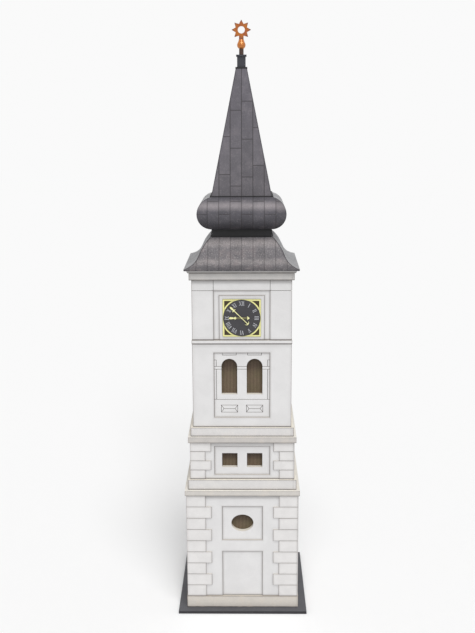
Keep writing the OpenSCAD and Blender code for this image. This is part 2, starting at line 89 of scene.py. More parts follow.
camera_data = bpy.data.cameras.new("camera")
camera_data.sensor_width = 36
camera_data.lens = 51.95
camera = bpy.data.objects.new("camera", camera_data)
camera.location = STAND
ahead = Vector((math.sin(YAW) * math.cos(PITCH), math.cos(YAW) * math.cos(PITCH), math.sin(PITCH)))
level = Vector((math.cos(YAW), -math.sin(YAW), 0))
across = math.cos(ROLL) * level + math.sin(ROLL) * level.cross(ahead)
upward = across.cross(ahead)
camera.rotation_euler = Matrix((across, upward, -ahead)).transposed().to_euler()
scene.collection.objects.link(camera)
scene.camera = camera
print("camera looks along", [round(v, 3) for v in ahead])

# %% [markdown]
# ## Colour and light
# White card shows its shape only through soft shade, so the light has to stay plain. A pale world
# fills every side. A broad sun from high on the right shades the walls under the cornices, and a
# lower one from the front throws the tower's shadow back along the floor. Together they make a
# level white sheet exactly as bright as its own colour, so each material below can be written as
# it looks.

# %% Colour management
scene.view_settings.view_transform = "Standard"
print("view transform:", scene.view_settings.view_transform)

# %% World
FILL = 0.44
OVERHEAD = 0.43
BACKDROP = 0.955

world = bpy.data.worlds.new("studio")
world.use_nodes = True
scene.world = world
world_nodes = world.node_tree.nodes
world_links = world.node_tree.links
backdrop_light = world_nodes["Background"]
backdrop_light.inputs["Color"].default_value = (1, 1, 1, 1)
backdrop_light.inputs["Strength"].default_value = FILL
seen_white = world_nodes.new("ShaderNodeBackground")
seen_white.inputs["Color"].default_value = (BACKDROP, BACKDROP, BACKDROP, 1)
seen_white.inputs["Strength"].default_value = 1
path = world_nodes.new("ShaderNodeLightPath")
seen = path.outputs["Is Camera Ray"]
for ray in ("Is Glossy Ray", "Is Transmission Ray"):
    either = world_nodes.new("ShaderNodeMath")
    either.operation = "MAXIMUM"
    world_links.new(seen, either.inputs[0])
    world_links.new(path.outputs[ray], either.inputs[1])
    seen = either.outputs[0]
choose = world_nodes.new("ShaderNodeMixShader")
world_links.new(seen, choose.inputs[0])
world_links.new(backdrop_light.outputs[0], choose.inputs[1])
world_links.new(seen_white.outputs[0], choose.inputs[2])
world_links.new(choose.outputs[0], world_nodes["World Output"].inputs["Surface"])


# %% Suns
def add_sun(name, share, up, side, spread):
    """A distant lamp that gives a level sheet its share of the light. up and side are in degrees,
    above the horizon and to the right of the front, and spread is how wide the lamp looks."""
    data = bpy.data.lights.new(name, "SUN")
    data.energy = math.pi * share / math.sin(math.radians(up))
    data.angle = math.radians(spread)
    lamp = bpy.data.objects.new(name, data)
    up, side = math.radians(up), math.radians(side)
    towards = Vector((math.sin(side) * math.cos(up), -math.cos(side) * math.cos(up), math.sin(up)))
    lamp.rotation_euler = towards.to_track_quat("Z", "Y").to_euler()
    scene.collection.objects.link(lamp)
    print(name, "strength", round(data.energy, 3))


add_sun("overhead", OVERHEAD, 64, 12, 30)
add_sun("front", 1 - FILL - OVERHEAD, 36, 9, 20)

# %% [markdown]
# ## The wiring helper
# A shader is a set of boxes joined by wires. This small class places a box, sets its values and
# joins it up in one line, so that each material below reads as a recipe. A value may be a number,
# a colour or the output of another box.


# %% Wiring
def rgb(red, green, blue):
    """Turns a colour as a screen shows it, 0 to 255, into the linear values Blender uses."""
    channels = []
    for value in (red, green, blue):
        c = value / 255
        channels.append(c / 12.92 if c <= 0.04045 else ((c + 0.055) / 1.055) ** 2.4)
    return (*channels, 1)


class Wiring:
    def __init__(self, tree):
        self.tree = tree

    def join(self, socket, value):
        if isinstance(value, bpy.types.NodeSocket):
            self.tree.links.new(value, socket)
        else:
            socket.default_value = value

    def add(self, kind, settings=None, **values):
        box = self.tree.nodes.new("ShaderNode" + kind)
        for key, value in (settings or {}).items():
            setattr(box, key, value)
        for key, value in values.items():
            self.join(box.inputs[key.replace("_", " ")], value)
        return box

    def use(self, group, **values):
        box = self.tree.nodes.new("ShaderNodeGroup")
        box.node_tree = group
        for key, value in values.items():
            self.join(box.inputs[key.replace("_", " ")], value)
        return box.outputs

    def math(self, operation, *values, clamp=False):
        box = self.add("Math", {"operation": operation, "use_clamp": clamp})
        for socket, value in zip(box.inputs, values):
            self.join(socket, value)
        return box.outputs[0]

    def gap(self, first, second):
        """How far apart two values are."""
        return self.math("ABSOLUTE", self.math("SUBTRACT", first, second))

    def between(self, value, low, high):
        """1 where the value lies between low and high, and 0 elsewhere."""
        above, below = self.math("GREATER_THAN", value, low), self.math("LESS_THAN", value, high)
        return self.math("MULTIPLY", above, below)

    def fade(self, value, start, end, low=0.0, high=1.0):
        """Goes from low to high as the value goes from start to end, and stays there."""
        box = self.add("MapRange", {"interpolation_type": "SMOOTHSTEP"})
        for socket, given in zip(box.inputs, (value, start, end, low, high)):
            self.join(socket, given)
        return box.outputs[0]

    def mix(self, factor, first, second, blend="MIX"):
        box = self.add("Mix", {"data_type": "RGBA", "blend_type": blend})
        self.join(box.inputs[0], factor)
        self.join(box.inputs[6], first)
        self.join(box.inputs[7], second)
        return box.outputs[2]

    def dim(self, colour, amount):
        """Multiplies a colour by a number that may change over the surface."""
        grey = self.add("CombineColor", Red=amount, Green=amount, Blue=amount)
        return self.mix(1.0, colour, grey.outputs[0], "MULTIPLY")


def new_group(name, inputs, outputs):
    """An empty shader group with number inputs and number outputs."""
    tree = bpy.data.node_groups.new(name, "ShaderNodeTree")
    for label, value in inputs.items():
        socket = tree.interface.new_socket(label, in_out="INPUT", socket_type="NodeSocketFloat")
        socket.default_value = value
    for label in outputs:
        tree.interface.new_socket(label, in_out="OUTPUT", socket_type="NodeSocketFloat")
    given = tree.nodes.new("NodeGroupInput").outputs
    results = tree.nodes.new("NodeGroupOutput").inputs
    print("group", name, "puts out", ", ".join(outputs))
    return Wiring(tree), given, results


# %% [markdown]
# ## Where a point is on its wall
# The tower has four like sides. Seen from any side, a point has a place across that side, a height
# and a distance from the tower's axis. This group works those out, so that a line drawn
# once shows on all four sides. It also tells the printed face of a sheet from its cut edges, which
# face sideways, up or down.

# %% Group: side view
w, given, results = new_group(
    "side_view", {"Face distance": 20.0}, ["Across", "Height", "Depth", "Cut", "Up"]
)
place = w.add("SeparateXYZ", Vector=w.add("TexCoord").outputs["Object"]).outputs
x, y, z = (w.math("MULTIPLY", place[i], 1 / MM) for i in range(3))
normal = w.add("SeparateXYZ", Vector=w.add("NewGeometry").outputs["Normal"]).outputs
far_x, far_y = w.math("ABSOLUTE", x), w.math("ABSOLUTE", y)
on_x = w.math("GREATER_THAN", far_x, far_y)
on_y = w.math("SUBTRACT", 1, on_x)
across_x = w.math("MULTIPLY", y, w.math("SIGN", x))
across_y = w.math("MULTIPLY", w.math("MULTIPLY", x, w.math("SIGN", y)), -1)
across_x = w.math("MULTIPLY", on_x, across_x)
across_y = w.math("MULTIPLY", on_y, across_y)
w.join(results["Across"], w.math("ADD", across_x, across_y))
w.join(results["Height"], z)
w.join(results["Depth"], w.math("MAXIMUM", far_x, far_y))
faced = []
for i, far in ((0, far_x), (1, far_y)):
    outside = w.math("GREATER_THAN", far, given["Face distance"])
    faced.append(w.math("MULTIPLY", w.math("ABSOLUTE", normal[i]), outside))
w.join(results["Cut"], w.math("SUBTRACT", 1, w.math("MAXIMUM", *faced), clamp=True))
w.join(results["Up"], normal[2])
side_view = w.tree

# %% [markdown]
# ## Card grain
# Card is never quite even: it has a fine tooth, and the board under it shows as faint clouds.
# Both come from noise on the object's own coordinates, which stay put when the view turns.

# %% Group: card grain
w, given, results = new_group(
    "card_grain", {"Tooth size": 0.35, "Cloud size": 9.0}, ["Tooth", "Cloud"]
)
here = w.add("TexCoord").outputs["Object"]
for label, size, detail in (("Tooth", "Tooth size", 3.0), ("Cloud", "Cloud size", 2.0)):
    per_metre = w.math("DIVIDE", 1 / MM, given[size])
    noise = w.add("TexNoise", Vector=here, Scale=per_metre, Detail=detail, Roughness=0.6)
    w.join(results[label], noise.outputs[0])
card_grain = w.tree

# %% [markdown]
# ## Cut lines
# A laser leaves a thin scorched line wherever it cuts or engraves. Most of those places
# are rectangles seen from one side: a panel, a window or the end of a corner stone. One group draws
# a line along a rectangle's edge, and another draws evenly ruled lines.

# %% Group: outline
w, given, results = new_group(
    "outline",
    {
        "Across": 0.0, "Height": 0.0, "Half width": 1.0, "Foot": 0.0, "Head": 1.0,
        "Line": 0.3, "Shade": 2.0,
    },
    ["Line", "Shade"],
)
over_side = w.math("SUBTRACT", w.math("ABSOLUTE", given["Across"]), given["Half width"])
under_foot = w.math("SUBTRACT", given["Foot"], given["Height"])
over_head = w.math("SUBTRACT", given["Height"], given["Head"])
over = w.math("MAXIMUM", over_side, w.math("MAXIMUM", under_foot, over_head))
away = w.math("ABSOLUTE", over)
w.join(results["Line"], w.fade(away, 0.0, given["Line"], 1.0, 0.0))
# The Shade output is a wider, softer fringe, used for painted shade beside edges.
w.join(results["Shade"], w.fade(away, 0.0, given["Shade"], 1.0, 0.0))
outline = w.tree

# %% Group: ruled lines
w, given, results = new_group(
    "ruled", {"Value": 0.0, "Spacing": 1.0, "Offset": 0.0, "Width": 0.1}, ["Line", "Column"]
)
start = w.math("SUBTRACT", given["Value"], given["Offset"])
turns = w.math("DIVIDE", start, given["Spacing"])
gone = w.math("MULTIPLY", w.gap(turns, w.math("ROUND", turns)), given["Spacing"])
w.join(results["Line"], w.fade(gone, 0.0, given["Width"], 1.0, 0.0))
w.join(results["Column"], w.math("FLOOR", turns))
ruled = w.tree

# %% [markdown]
# ## A finish and where it goes
# Every finish ends in one Principled shader. This helper makes the material and hands over its
# wiring and its shader. A second one puts the finished material on named parts.


# %% Material helpers
def new_finish(name, roughness=0.75, specular=0.3, metallic=0.0):
    material = bpy.data.materials.new(name)
    material.use_nodes = True
    shader = material.node_tree.nodes["Principled BSDF"]
    shader.inputs["Roughness"].default_value = roughness
    shader.inputs["Specular IOR Level"].default_value = specular
    shader.inputs["Metallic"].default_value = metallic
    return material, Wiring(material.node_tree), shader.inputs


def relief(w, shader, height, distance=0.05, strength=0.5):
    """Raises or lowers the surface by a height mask, distance in millimetres."""
    bump = w.add("Bump", Height=height, Distance=distance * MM, Strength=strength)
    w.join(shader["Normal"], bump.outputs["Normal"])


def cover(material, *names):
    for name in names:
        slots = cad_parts[name].material_slots
        if not slots:
            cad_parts[name].data.materials.append(material)
        for material_slot in slots:
            material_slot.material = material
    print(material.name, "covers", ", ".join(names))


SIDES = ("front", "right", "back", "left")


def all_sides(stem):
    return [stem + "_" + side for side in SIDES]


# Blender's noise mostly stays between these two values
NOISE_LOW, NOISE_HIGH = 0.3, 0.7


def grained(w, colour, grain, tooth=0.05, cloud=0.06):
    """Varies a colour a little by both sizes of card grain."""
    fine = w.fade(grain["Tooth"], NOISE_LOW, NOISE_HIGH, -tooth, tooth)
    broad = w.fade(grain["Cloud"], NOISE_LOW, NOISE_HIGH, -cloud, cloud)
    return w.dim(colour, w.math("ADD", 1, w.math("ADD", fine, broad)))


# %% [markdown]
# ## White wall card
# The walls are white board with a white facing card. The printed face is a cool white. The cut
# edges show the board's cream core, browned by the laser, and each engraved line has a
# brown-grey floor. The openings in the facing get a thin scorched outline and a soft grey
# fringe of painted shade, which is what makes the panels read from a distance. The top of each
# wall is painted grey under the board above, and its foot gets a dark line, part joint and part
# painted shade.

# %% Wall colours
CARD_WHITE = rgb(218, 217, 217)
CARD_CREAM = rgb(236, 230, 218)
SCORCH = rgb(98, 86, 79)
# The darkest brown: engraved floors, and the foot lines, where it is the joint with painted shade
# in the crease.
BURNT_AND_SHADE = rgb(62, 52, 48)
# The grey of the painted shade beside edges.
FRINGE_SHADE = rgb(150, 145, 143)
# The grey of the painted shade under a board that juts out above.
UNDER_BOARD_SHADE = rgb(120, 117, 116)
print("white card:", [round(c, 3) for c in CARD_WHITE[:3]])


# %% Scorched edges
def scorch(w, view, colour, rectangles, line=0.5, fringe_shade=0.2, width=0.35, reach=1.8):
    """Browns a colour along rectangles seen from the side, each (half width, foot, head), with a
    thin scorched line and a wider fringe of painted shade. Hands back the colour and the line's
    mask."""
    lines, fringe = 0.0, 0.0
    for half, low, high in rectangles:
        edge = w.use(
            outline, Across=view["Across"], Height=view["Height"],
            Half_width=half, Foot=low, Head=high, Line=width, Shade=reach,
        )
        lines = w.math("MAXIMUM", lines, edge["Line"])
        fringe = w.math("MAXIMUM", fringe, edge["Shade"])
    # Painted shade: a soft grey fringe along each rectangle, as the edge of a recess would shade
    # the card.
    colour = w.mix(w.math("MULTIPLY", fringe, fringe_shade), colour, FRINGE_SHADE)
    return w.mix(w.math("MULTIPLY", lines, line), colour, SCORCH), lines


def foot_joint_shade(w, view, level, strength):
    """A dark line where a sheet meets the board it stands on: the joint, with painted shade in the
    crease.
    """
    over = w.math("GREATER_THAN", view["Height"], level - 0.05)
    return w.math("MULTIPLY", over, w.fade(view["Height"], level + 0.2, level + 0.9, strength, 0.0))


def groove_floor(w, view, distance):
    """1 on the floor of lines engraved down to that distance from the axis."""
    return w.math("LESS_THAN", w.gap(view["Depth"], distance), 0.03)


def cut_edge(w, view):
    """A cut edge is cream where it faces up and scorched elsewhere."""
    return w.mix(w.fade(view["Up"], 0.0, 0.8), SCORCH, CARD_CREAM)


# %% Wall finish
def wall_finish(name, recess, sheet, panels, groove=0.0, under_shade=0.3, joint_shade=0.75):
    """White card. recess is how far from the axis the lower level lies, sheet is the rectangle that
    shows of the whole wall, panels are the openings cut in its facing, and groove is the
    distance from the axis to the floor of the engraved lines. The last two are painted shade:
    the first greys the last 3 mm under the board above, and the second darkens the foot of the
    wall, where the joint is."""
    material, w, shader = new_finish(name, 0.7, 0.25)
    view = w.use(side_view, Face_distance=recess - 1)
    grain = w.use(card_grain, Tooth_size=0.4, Cloud_size=12.0)
    foot_level, head_level = sheet[1:]
    colour = grained(w, CARD_WHITE, grain, 0.02, 0.03)
    # The wall's own edges get a scorched line and a wide fringe of painted shade.
    colour, rim = scorch(w, view, colour, (sheet,), 0.75, 0.12, 0.45, 2.5)
    # Painted shade: the top 3 mm of the wall greys under the board above.
    shade_under_board = w.fade(view["Height"], head_level - 3.0, head_level - 1.2, 0.0, under_shade)
    colour = w.mix(shade_under_board, colour, UNDER_BOARD_SHADE)
    colour, line = scorch(w, view, colour, panels, 0.68, 0.2, 0.37, 1.5)
    # The foot of the wall: the joint, with painted shade in the crease.
    colour = w.mix(foot_joint_shade(w, view, foot_level, joint_shade), colour, BURNT_AND_SHADE)
    colour = w.mix(groove_floor(w, view, groove), colour, BURNT_AND_SHADE)
    colour = w.mix(w.math("MULTIPLY", view["Cut"], 0.85), colour, cut_edge(w, view))
    w.join(shader["Base Color"], colour)
    relief(w, shader, w.math("SUBTRACT", grain["Tooth"], w.math("MAXIMUM", line, rim)), 0.06, 0.35)
    return material


# %% Walls
GROUND = foot("ground_wall_front")
WINDOW = foot("window_wall_front")
BELFRY = foot("belfry_wall_front")
CLOCK = foot("clock_wall_front")
# half width, foot and head of each opening in the facing
DOOR_PANEL = (12.15, head("plinth"), head("plinth") + 29.5)
OVAL_PANEL = (12.15, GROUND + 44.3, GROUND + 66.1)
WINDOW_PANEL = (16.575, WINDOW + 8.95, WINDOW + 26.9)
BELFRY_PANEL = (16.5, BELFRY + 11.45, BELFRY + 51.1)
CLOCK_RECESS = (16.45, CLOCK - 1, CLOCK + 29.45)
CLOCK_SURROUND = (13.2, CLOCK - 1, CLOCK + 26.5)

WALLS = {
    "ground_wall": {
        "recess": 32.65, "sheet": (33.25, head("plinth"), foot("lower_cornice")),
        "panels": (OVAL_PANEL, DOOR_PANEL), "joint_shade": 0.3,
    },
    "window_wall": {
        "recess": 30.05, "sheet": (30.65, head("lower_course"), foot("upper_cornice")),
        "panels": (WINDOW_PANEL,), "under_shade": 0.2,
    },
    "belfry_wall": {
        "recess": 28.6, "sheet": (29.2, head("upper_course"), foot("string_course")),
        "panels": (BELFRY_PANEL,), "groove": 28.45, "under_shade": 0.1,
    },
    "clock_wall": {
        "recess": 28.5, "sheet": (29.1, CLOCK, foot("eaves_fascia")),
        "panels": (CLOCK_RECESS, CLOCK_SURROUND), "groove": 28.95,
    },
}
for stem, values in WALLS.items():
    cover(wall_finish(stem + "_card", **values), *all_sides(stem))

# %% [markdown]
# ## Corner stones
# The corner stones are one card each side, cut short and long in turn. The laser has browned
# their ends and the lines between the stones, and a soft grey fringe beside them is painted
# shade. The ends lie at two distances from the axis, so the shader first finds out which course
# a point is in.

# %% Corner stones
QUOIN_SHORT = 22.15
QUOIN_LONG = 18.65
STONE_WHITE = rgb(220, 218, 217)


def quoin_finish(name, part, courses, groove, joint_shade):
    """White card cut into courses. groove is how far from the axis the floor of the joints lies,
    and the last argument darkens the foot with the joint and painted shade in its crease."""
    material, w, shader = new_finish(name, 0.7, 0.25)
    view = w.use(side_view, Face_distance=groove - 1)
    grain = w.use(card_grain, Tooth_size=0.4, Cloud_size=7.0)
    colour = grained(w, STONE_WHITE, grain, 0.02, 0.03)
    rise = (head(part) - foot(part)) / courses
    height = view["Height"]
    course = w.math("FLOOR", w.math("DIVIDE", w.math("SUBTRACT", height, foot(part)), rise))
    odd = w.math("MODULO", w.math("ADD", course, 100), 2)
    end = w.math("ADD", QUOIN_SHORT, w.math("MULTIPLY", odd, QUOIN_LONG - QUOIN_SHORT))
    inward = w.math("SUBTRACT", w.math("ABSOLUTE", view["Across"]), end)
    joints = w.use(ruled, Value=height, Spacing=rise, Offset=foot(part), Width=0.28)["Line"]
    beside_joints = w.use(ruled, Value=height, Spacing=rise, Offset=foot(part), Width=1.6)["Line"]
    end_line = w.math("MULTIPLY", w.fade(inward, 0.0, 0.4, 1.0, 0.0), 0.75)
    line = w.math("MAXIMUM", end_line, w.math("MULTIPLY", joints, 0.5))
    # Painted shade: a soft grey fringe beside the stone ends and the joints, where the raised
    # stones shade the card.
    near_end = w.fade(inward, 0.0, 1.6, 0.16, 0.0)
    fringe = w.math("MAXIMUM", near_end, w.math("MULTIPLY", beside_joints, 0.12))

    sheet = (reach(part), foot(part), head(part))
    colour, _ = scorch(w, view, colour, (sheet,), 0.5, 0.15, 0.4, 2.0)
    colour = w.mix(fringe, colour, FRINGE_SHADE)
    colour = w.mix(line, colour, SCORCH)
    colour = w.mix(w.math("MULTIPLY", groove_floor(w, view, groove), 0.8), colour, BURNT_AND_SHADE)
    # The foot: the joint, with painted shade in the crease.
    colour = w.mix(foot_joint_shade(w, view, foot(part), joint_shade), colour, BURNT_AND_SHADE)
    colour = w.mix(w.math("MULTIPLY", view["Cut"], 0.7), colour, cut_edge(w, view))
    w.join(shader["Base Color"], colour)
    relief(w, shader, w.math("SUBTRACT", grain["Tooth"], line), 0.06, 0.35)
    return material


for name, part, values in (
    ("ground_quoin_card", "ground_quoins", {"courses": 9, "groove": 33.7, "joint_shade": 0.3}),
    ("window_quoin_card", "window_quoins", {"courses": 4, "groove": 31.1, "joint_shade": 0.75}),
):
    cover(quoin_finish(name, part, **values), part)

# %% [markdown]
# ## Cornices
# Each cornice is a thick board lying flat, with thin strips glued upright on it. A board
# cut by laser has a warm, faintly clouded edge, and its upper face is painted a paler cream, as
# the light falling on it would show. The strips are printed white outside and show a cream cut
# edge on top. The dark line at the foot of each board and strip is part scorch and part painted
# shade, and the fascia is painted grey and darker towards its head, as the eaves shade it.

# %% Cornices
BOARD_WARM = rgb(204, 194, 180)


def dress_board(name, part, face_colour, top_colour, line, fringe_shade, warm, low=1.0, high=1.0):
    """A board or strip seen on its edge. line is how dark its outline is, and the darkness of its
    foot, which is part scorch and part painted shade. The next argument sets how grey the painted
    shade beside the outline is, and warm how strong the brown clouds. low and high dim the foot
    and the head as painted shade."""
    material, w, shader = new_finish(name, 0.75, 0.2)
    view = w.use(side_view, Face_distance=20)
    grain = w.use(card_grain, Tooth_size=0.5, Cloud_size=5.0)
    foot_level, head_level = foot(part), head(part)
    # low and high dim the face towards the foot and the head; on the fascia this is painted shade
    # under the eaves.
    face = w.dim(face_colour, w.fade(view["Height"], foot_level, head_level, low, high))
    sheet = (reach(part), foot_level, head_level)
    face, _ = scorch(w, view, face, (sheet,), line, fringe_shade, 0.4, 1.6)
    # A dark line along the foot, part scorch and part painted shade where the board meets the part
    # below.
    under = w.fade(view["Height"], foot_level, foot_level + 0.8, line, 0.0)
    face = w.mix(under, face, BURNT_AND_SHADE)
    # The upward face takes the top colour; on the cornice boards that paler cream is painted light
    # from above.
    colour = w.mix(w.fade(view["Up"], 0.3, 0.7), face, top_colour)
    clouds = w.math("MULTIPLY", w.fade(grain["Cloud"], 0.45, 0.75), warm)
    colour = w.mix(clouds, colour, BOARD_WARM)
    w.join(shader["Base Color"], grained(w, colour, grain, 0.04, 0.03))
    relief(w, shader, grain["Tooth"], 0.08, 0.4)
    cover(material, part)


# The cornice tops are painted paler, as lit from above.
CORNICE_TOP = rgb(230, 226, 218)
STRIP_WHITE = rgb(215, 213, 212)
CORNICE = {"top_colour": CORNICE_TOP, "line": 0.35, "fringe_shade": 0.15, "warm": 0.25}
STRIP = {"top_colour": CARD_CREAM, "line": 0.95, "fringe_shade": 0.2, "warm": 0.1}

dress_board("lower_cornice_board", "lower_cornice", rgb(203, 199, 194), **CORNICE)
dress_board("upper_cornice_board", "upper_cornice", rgb(195, 191, 187), **CORNICE)
dress_board("lower_course_card", "lower_course", STRIP_WHITE, **STRIP)
dress_board("upper_course_card", "upper_course", STRIP_WHITE, **STRIP)
dress_board(
    "string_card", "string_course", rgb(221, 220, 220), CARD_CREAM,
    line=0.95, fringe_shade=0.1, warm=0.05,
)
# Painted shade: the fascia's grey is partly the shade of the eaves, and it dims towards its head.
dress_board(
    "fascia_card", "eaves_fascia", rgb(194, 192, 190), CARD_CREAM,
    line=0.7, fringe_shade=0.2, warm=0.1, low=1.05, high=0.88,
)
dress_board(
    "roof_board_card", "roof_board", rgb(188, 187, 186), rgb(190, 186, 180),
    line=0.8, fringe_shade=0.2, warm=0.1,
)
dress_board(
    "plinth_card", "plinth", rgb(211, 205, 197), rgb(186, 178, 166),
    line=0.85, fringe_shade=0.2, warm=0.3,
)

# %% [markdown]
# ## The base plate
# The plate is dark grey board with a fine speckle. Its upper face is painted lighter, as the
# light catching it would show, and its cut edge is darker.

# %% Base plate
SLATE_EDGE = rgb(50, 49, 52)
SLATE_TOP = rgb(84, 84, 88)

material, w, shader = new_finish("slate_board", 0.6, 0.35)
view = w.use(side_view, Face_distance=20)
grain = w.use(card_grain, Tooth_size=0.5, Cloud_size=14.0)
# Painted light: the upward face takes the lighter grey.
colour = w.mix(w.fade(view["Up"], 0.3, 0.7), SLATE_EDGE, SLATE_TOP)
w.join(shader["Base Color"], grained(w, colour, grain, 0.1, 0.08))
relief(w, shader, grain["Tooth"], 0.08, 0.4)
cover(material, "base_plate")

# %% [markdown]
# ## Louvres
# Behind every opening stands a sheet of brown card, ruled with fine upright lines. The lines are
# pressed in, so they are both darker and lower than the card between them. The card
# is olive brown at the foot of an opening, and painted darker towards its top, as shade from the
# wall above.

# %% Louvre card
BROWN_REDDISH = rgb(122, 106, 88)
BROWN_OLIVE = rgb(112, 101, 80)
# Painted shade at the top of each opening.
PAINTED_LOUVRE_SHADE = rgb(66, 52, 54)
PRESSED = rgb(56, 46, 41)
LOUVRE_PITCH = 0.85
# foot and head of each row of openings, and the shares of the height where the painted shade starts
# and ends
OPENINGS = (
    (GROUND + 49.75, GROUND + 60.65, 0.3, 0.75),
    (WINDOW + 13.45, WINDOW + 22.4, 0.3, 0.75),
    (BELFRY + 25.55, BELFRY + 47.35, 0.5, 0.8),
)

material, w, shader = new_finish("louvre_card", 0.8, 0.2)
view = w.use(side_view, Face_distance=20)
grain = w.use(card_grain, Tooth_size=0.5, Cloud_size=6.0)
lines = w.use(ruled, Value=view["Across"], Spacing=LOUVRE_PITCH, Offset=0.0, Width=0.24)["Line"]
colour = w.mix(w.fade(grain["Cloud"], 0.35, 0.65), BROWN_REDDISH, BROWN_OLIVE)
for low, high, light_to, dark_from in OPENINGS:
    within = w.between(view["Height"], low - 3, high + 3)
    tall = high - low
    # Painted shade: each opening darkens towards its top, under the wall above it.
    shade_at_top = w.fade(view["Height"], low + light_to * tall, low + dark_from * tall, 0.0, 0.48)
    colour = w.mix(w.math("MULTIPLY", within, shade_at_top), colour, PAINTED_LOUVRE_SHADE)
colour = w.mix(w.math("MULTIPLY", lines, 0.85), colour, PRESSED)
w.join(shader["Base Color"], grained(w, colour, grain, 0.1, 0.06))
relief(w, shader, w.math("SUBTRACT", grain["Tooth"], lines), 0.1, 0.6)
cover(material, "louvre_sheets")

# %% [markdown]
# ## Roof card
# The roof is grey card printed to look like weathered sheet metal. The sheets run up the slope in
# equal columns, and their cross seams are staggered from one column to the next. Cloudy wear
# and pale speckles cover it, and the front and back panels show a dark scorched edge along
# their hips. The two side panels are plainer and paler. On the ogee and the bulge, the foot of
# each curve is painted darker and lighter bands above it are painted highlights, as light from
# above would shade and light them.

# %% Group: sheet seams
w, given, results = new_group(
    "sheet_seams",
    {
        "Across": 0.0, "Height": 0.0, "Column width": 6.55, "Row height": 21.4,
        "First row": 0.0, "Step": 0.0, "Left shift": 0.0, "Odd shift": 0.0, "Line": 0.42,
        "Bottom": 0.0, "Top": 1000.0,
    },
    ["Upright", "Level", "Sheet"],
)
upright = w.use(ruled, Value=given["Across"], Spacing=given["Column width"], Width=given["Line"])
column = upright["Column"]
on_left = w.math("LESS_THAN", column, 0.0)
from_middle = w.math("MAXIMUM", column, w.math("SUBTRACT", -1, column))
odd = w.math("MODULO", w.math("ADD", column, 100), 2)
row = given["First row"]
for amount, size in ((from_middle, "Step"), (on_left, "Left shift"), (odd, "Odd shift")):
    row = w.math("ADD", row, w.math("MULTIPLY", amount, given[size]))
height = given["Height"]
levels = w.use(ruled, Value=height, Spacing=given["Row height"], Offset=row, Width=given["Line"])
crossed = w.between(height, given["Bottom"], given["Top"])
w.join(results["Upright"], upright["Line"])
w.join(results["Level"], w.math("MULTIPLY", levels["Line"], crossed))
key = w.add("CombineXYZ", X=column, Y=levels["Column"], Z=3.7)
w.join(results["Sheet"], w.add("TexWhiteNoise", Vector=key.outputs[0]).outputs["Value"])
sheet_seams = w.tree

# %% Roof finish
SEAM_DARK = rgb(48, 45, 46)
HIP_DARK = rgb(50, 48, 52)
SPECK_PALE = rgb(182, 176, 172)
SPECK_DARK = rgb(84, 76, 76)
RUST = rgb(146, 130, 127)


def roof_finish(name, low, high, colours, speckle, seams, hip=0.0, seam_strength=0.85, highlight_bands=()):
    """Printed sheet metal. colours are the ones at the heights low and high; where a curved panel
    is darker at its foot, that is painted shade. hip is the width of the dark edge along a hip. The
    last argument lists (height, half height, strength, colour) of lighter bands, which are painted
    highlights."""
    material, w, shader = new_finish(name, 0.62, 0.3)
    view = w.use(side_view, Face_distance=1)
    grain = w.use(card_grain, Tooth_size=0.7, Cloud_size=5.5)
    # On the ogee and the bulge, the darker colour at the foot is painted shade.
    colour = w.mix(w.fade(view["Height"], low, high), *colours)
    # Painted highlights: lighter bands where a curve faces the light.
    for middle, half, strength, highlight_colour in highlight_bands:
        near = w.fade(w.gap(view["Height"], middle), 0.0, half, strength, 0.0)
        colour = w.mix(near, colour, highlight_colour)
    made = w.use(sheet_seams, Across=view["Across"], Height=view["Height"], **seams)
    colour = w.dim(colour, w.fade(made["Sheet"], 0.0, 1.0, 0.92, 1.08))
    pale = w.math("MULTIPLY", w.fade(grain["Tooth"], 0.52, 0.72), speckle)
    dark = w.math("MULTIPLY", w.fade(grain["Tooth"], 0.48, 0.3), speckle)
    rusty = w.fade(grain["Cloud"], 0.5, 0.72, 0.0, speckle * 0.5)
    for mask, tint in ((pale, SPECK_PALE), (dark, SPECK_DARK), (rusty, RUST)):
        colour = w.mix(mask, colour, tint)
    colour = grained(w, colour, grain, speckle * 0.2, 0.1)
    line = w.math("MAXIMUM", made["Upright"], made["Level"])
    colour = w.mix(w.math("MULTIPLY", line, seam_strength), colour, SEAM_DARK)
    if hip:
        from_hip = w.math("SUBTRACT", view["Depth"], w.math("ABSOLUTE", view["Across"]))
        colour = w.mix(w.fade(from_hip, 0.0, hip, 0.85, 0.0), colour, HIP_DARK)
    w.join(shader["Base Color"], colour)
    relief(w, shader, w.math("SUBTRACT", w.math("MULTIPLY", grain["Tooth"], 0.5), line), 0.12, 0.5)
    return material


# %% Roofs
OGEE_FOOT, OGEE_HEAD = foot("ogee_front_back"), head("ogee_front_back")
BULGE_FOOT, BULGE_HEAD = foot("bulge_front_back"), head("bulge_front_back")
SPIRE_FOOT, SPIRE_HEAD = foot("spire_front_back"), head("spire_front_back")
# heights so far off the roof that no cross seam shows
NO_SEAMS = {"Row_height": 2000.0, "First_row": -900.0}
BULGE_SEAMS = {"Row_height": 500.0, "First_row": BULGE_FOOT + 9.45, "Odd_shift": 7.1}
SPIRE_SEAMS = {
    "Row_height": 21.4, "First_row": SPIRE_HEAD - 18.4, "Step": -14.85, "Left_shift": -5.1,
    "Bottom": SPIRE_FOOT + 4.9, "Top": SPIRE_HEAD - 6,
}

# The ogee: its darker foot is painted shade, and its two lighter bands are painted highlights.
ogee = roof_finish(
    "ogee_card", OGEE_FOOT, OGEE_FOOT + 3.5, (rgb(84, 82, 85), rgb(107, 104, 107)),
    speckle=0.34, seams=NO_SEAMS, hip=1.1, seam_strength=0.5,
    highlight_bands=(
        (OGEE_FOOT + 4.4, 2.6, 0.75, rgb(136, 131, 131)),
        (OGEE_HEAD - 3.0, 3.4, 0.75, rgb(150, 144, 144)),
    ),
)
